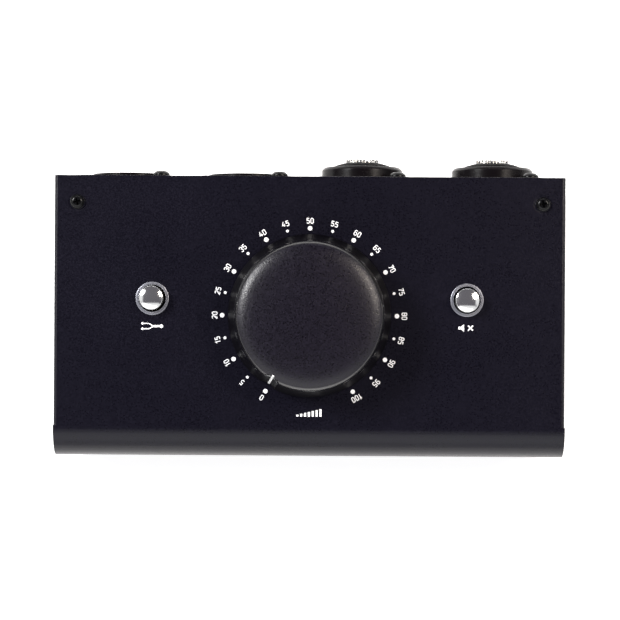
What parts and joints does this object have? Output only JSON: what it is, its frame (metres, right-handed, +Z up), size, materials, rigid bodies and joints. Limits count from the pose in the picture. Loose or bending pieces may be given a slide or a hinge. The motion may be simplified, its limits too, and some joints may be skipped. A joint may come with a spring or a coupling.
{
  "type": "studio monitor controller",
  "caption": "Desktop monitor controller with a large level knob, push buttons and rear balanced sockets in a sloping black sheet-metal case.",
  "frame": {"origin": "middle of the bounding box, on the plane the feet stand on", "axes": "+Z up, +Y to the rear panel with the sockets, +X to the right of a user who faces the knob"},
  "size_m": [0.139, 0.0838, 0.0599],
  "materials": {
    "black_powder_coat": "fine matt powder coat",
    "black_steel": "satin black zinc",
    "soft_black_plastic": "fine grain with a soft sheen",
    "pot_steel": "plated",
    "shaft_brass": "turned",
    "bright_steel": "zinc plated",
    "board_laminate": "green solder mask",
    "spacer_brass": "nickel plated",
    "black_nylon": "glass filled, satin",
    "grey_cable": "flexible PVC",
    "nickel_plate": "bright nickel",
    "black_rubber": "matt",
    "satin_metal": "satin",
    "grey_bezel": "turned, anodised",
    "white_acetal": "smooth",
    "black_shell_metal": "black chromate",
    "gold_contact": "gold plated"
  },
  "bodies": {
    "housing": {"base_chassis": "black_powder_coat", "base_screws": "black_steel", "board_spacers": "spacer_brass", "connector_board": "board_laminate", "connector_header": "black_nylon", "control_board": "board_laminate", "control_header": "black_nylon", "cover_screws": "black_steel", "foot_front_left": "black_rubber", "foot_front_right": "black_rubber", "foot_rear_left": "black_rubber", "foot_rear_right": "black_rubber", "input_left_bushing": "nickel_plate", "input_left_insert": "black_nylon", "input_left_shell": "black_shell_metal", "input_right_bushing": "nickel_plate", "input_right_insert": "black_nylon", "input_right_shell": "black_shell_metal", "mini_jack_body": "black_nylon", "mini_jack_nut": "nickel_plate", "mono_ring": "grey_bezel", "mono_switch": "black_nylon", "mute_ring": "grey_bezel", "mute_switch": "black_nylon", "output_left_insert": "black_nylon", "output_left_pins": "gold_contact", "output_left_shell": "black_shell_metal", "output_right_insert": "black_nylon", "output_right_pins": "gold_contact", "output_right_shell": "black_shell_metal", "pot_housing": "pot_steel", "pot_nut": "bright_steel", "pot_washer": "bright_steel", "ribbon_cable": "grey_cable", "top_cover": "black_powder_coat"},
    "level_dial": {"level_knob": "soft_black_plastic", "pot_shaft": "shaft_brass"},
    "mono_button": {"mono_cap": "satin_metal", "mono_stem": "white_acetal"},
    "mute_button": {"mute_cap": "satin_metal", "mute_stem": "white_acetal"}
  },
  "joints": [
    {"name": "level_turn", "type": "hinge", "parent": "housing", "child": "level_dial", "pos_m": [0, -0.00479, 0.04289], "axis": [0, 0.1392, -0.9903], "range_deg": [0, 300]},
    {"name": "mono_press", "type": "slide", "parent": "housing", "child": "mono_button", "axis": [0, 0.1392, -0.9903], "range_m": [0, 0.0025], "stiffness_N_per_m": 500, "springref_m": -0.0015},
    {"name": "mute_press", "type": "slide", "parent": "housing", "child": "mute_button", "axis": [0, 0.1392, -0.9903], "range_m": [0, 0.0025], "stiffness_N_per_m": 500, "springref_m": -0.0015}
  ]
}
